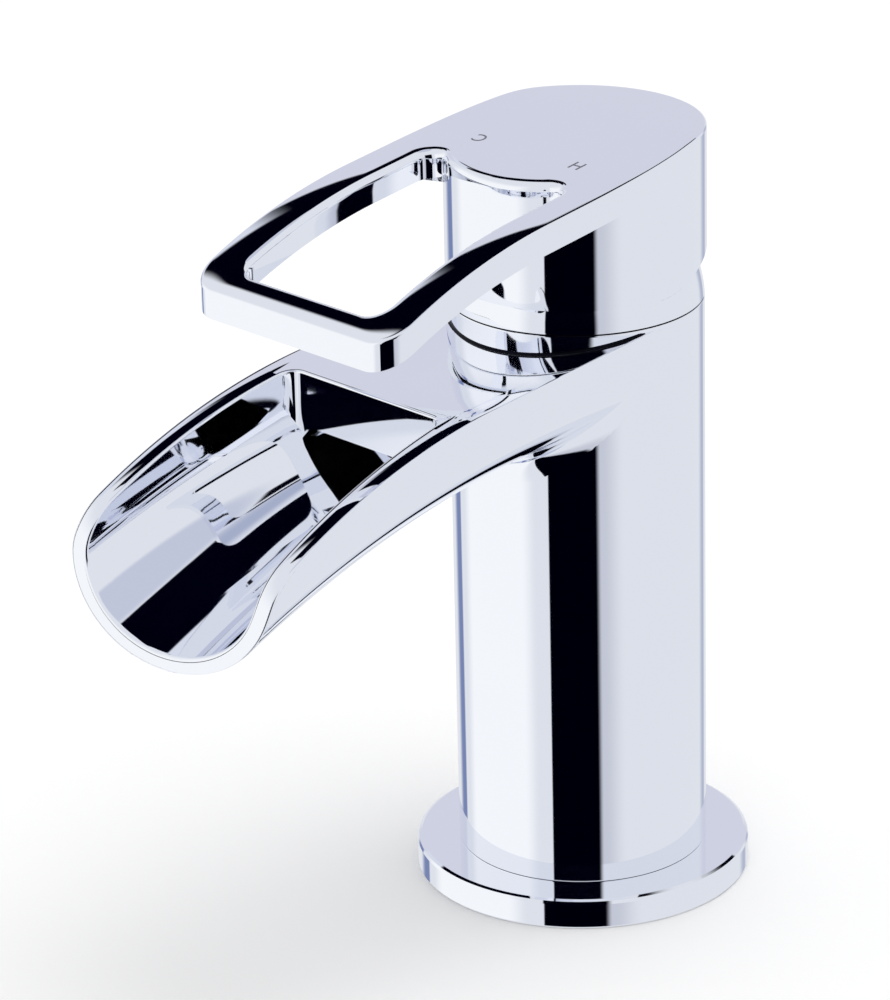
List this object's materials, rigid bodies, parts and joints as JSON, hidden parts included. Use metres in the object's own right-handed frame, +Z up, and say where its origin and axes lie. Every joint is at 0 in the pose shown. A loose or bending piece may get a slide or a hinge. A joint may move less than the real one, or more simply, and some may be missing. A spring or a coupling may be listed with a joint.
{
  "type": "waterfall basin faucet",
  "caption": "Single-lever basin faucet: round column, open-trough waterfall spout, loop lever that lifts and turns over a domed cover",
  "frame": {"origin": "centre of the column's axis on the basin surface, at the underside of the base flange", "axes": "+Z up along the column, the spout and lever point along -Y, +X to the right of a user who stands in front"},
  "size_m": [0.0616, 0.1333, 0.1432],
  "materials": {
    "chrome": "mirror-polished chrome plate",
    "steel": "plain machined steel",
    "brass": "turned brass",
    "rubber": "black moulded rubber",
    "ceramic": "lapped white ceramic",
    "white_plastic": "moulded engineering plastic",
    "red_plastic": "moulded plastic",
    "plug_plastic": "silver-coloured moulded plastic"
  },
  "bodies": {
    "shell": {"body_casting": "chrome", "base_flange": "chrome", "base_gasket": "rubber", "flange_seal": "rubber", "dome_cover": "chrome", "cartridge_nut": "brass", "nut_oring": "rubber", "cartridge_base": "white_plastic", "hot_port_seal": "rubber", "cold_port_seal": "rubber", "mixed_port_seal": "rubber", "disc_gasket": "rubber", "fixed_disc": "ceramic", "cartridge_housing": "white_plastic", "limit_ring": "red_plastic"},
    "turret": {"stem_turret": "white_plastic", "pivot_pin": "steel"},
    "lever": {"lever_handle": "chrome", "lever_stem": "steel", "handle_grub_screw": "steel", "screw_plug": "plug_plastic"},
    "disc": {"moving_disc": "ceramic", "disc_carrier": "white_plastic"}
  },
  "joints": [
    {"name": "temp_turn", "type": "hinge", "parent": "shell", "child": "turret", "pos_m": [0, 0, 0.11], "axis": [0, 0, 1], "range_deg": [-45, 45]},
    {"name": "lever_lift", "type": "hinge", "parent": "turret", "child": "lever", "pos_m": [0, 0, 0.11], "axis": [-1, 0, 0], "range_deg": [0, 18]},
    {"name": "disc_slide", "type": "slide", "parent": "turret", "child": "disc", "axis": [0, -1, 0], "range_m": [0, 0.0025]}
  ],
  "couplings": [
    {"joint": "disc_slide", "follows": "lever_lift", "m_per_rad": 0.00782}
  ]
}
